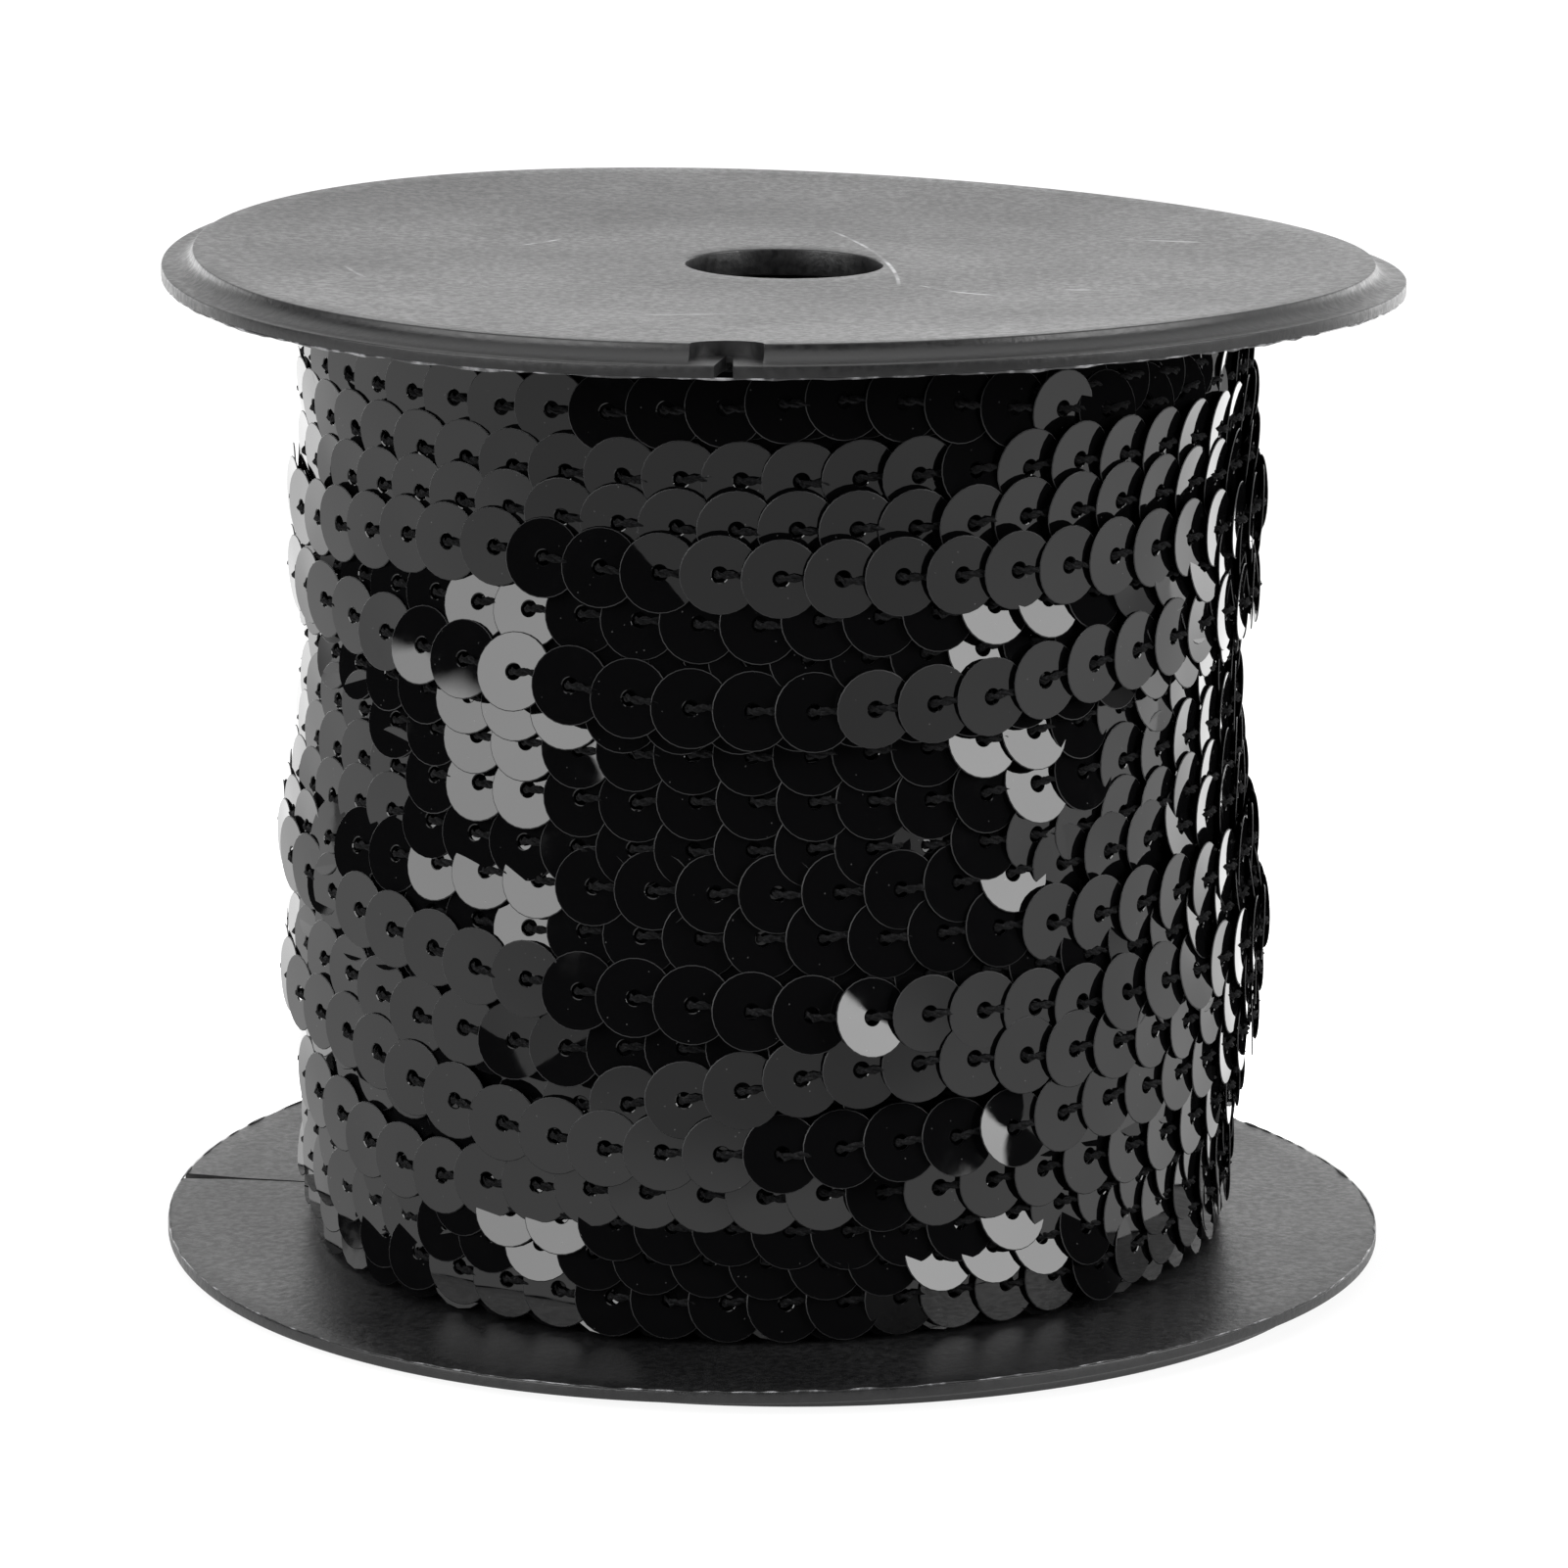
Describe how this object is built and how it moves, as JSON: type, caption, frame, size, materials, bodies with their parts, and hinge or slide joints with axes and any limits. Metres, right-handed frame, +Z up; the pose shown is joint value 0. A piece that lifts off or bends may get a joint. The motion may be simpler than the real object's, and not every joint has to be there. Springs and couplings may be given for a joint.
{
  "type": "spool of sequin trim",
  "caption": "Flanged plastic spool with a spindle hole, wound full with strung flat round sequins that overlap like scales.",
  "frame": {"origin": "centre of the lower flange's outer face, on the surface the spool stands on", "axes": "+Z up along the spool's axis, -Y towards the front, +X to the right seen from the front"},
  "size_m": [0.097, 0.097, 0.0804],
  "materials": {
    "spool_plastic": "satin black moulded plastic, finely mottled and lightly scratched",
    "sequin_film": "glossy black film, slightly cupped, with bright cut edges",
    "sewing_thread": "thin black chain-stitched thread"
  },
  "bodies": {
    "root": {"lower_flange": "spool_plastic", "core_tube": "spool_plastic", "upper_flange": "spool_plastic", "sequin_winding": "sequin_film"}
  },
  "joints": []
}
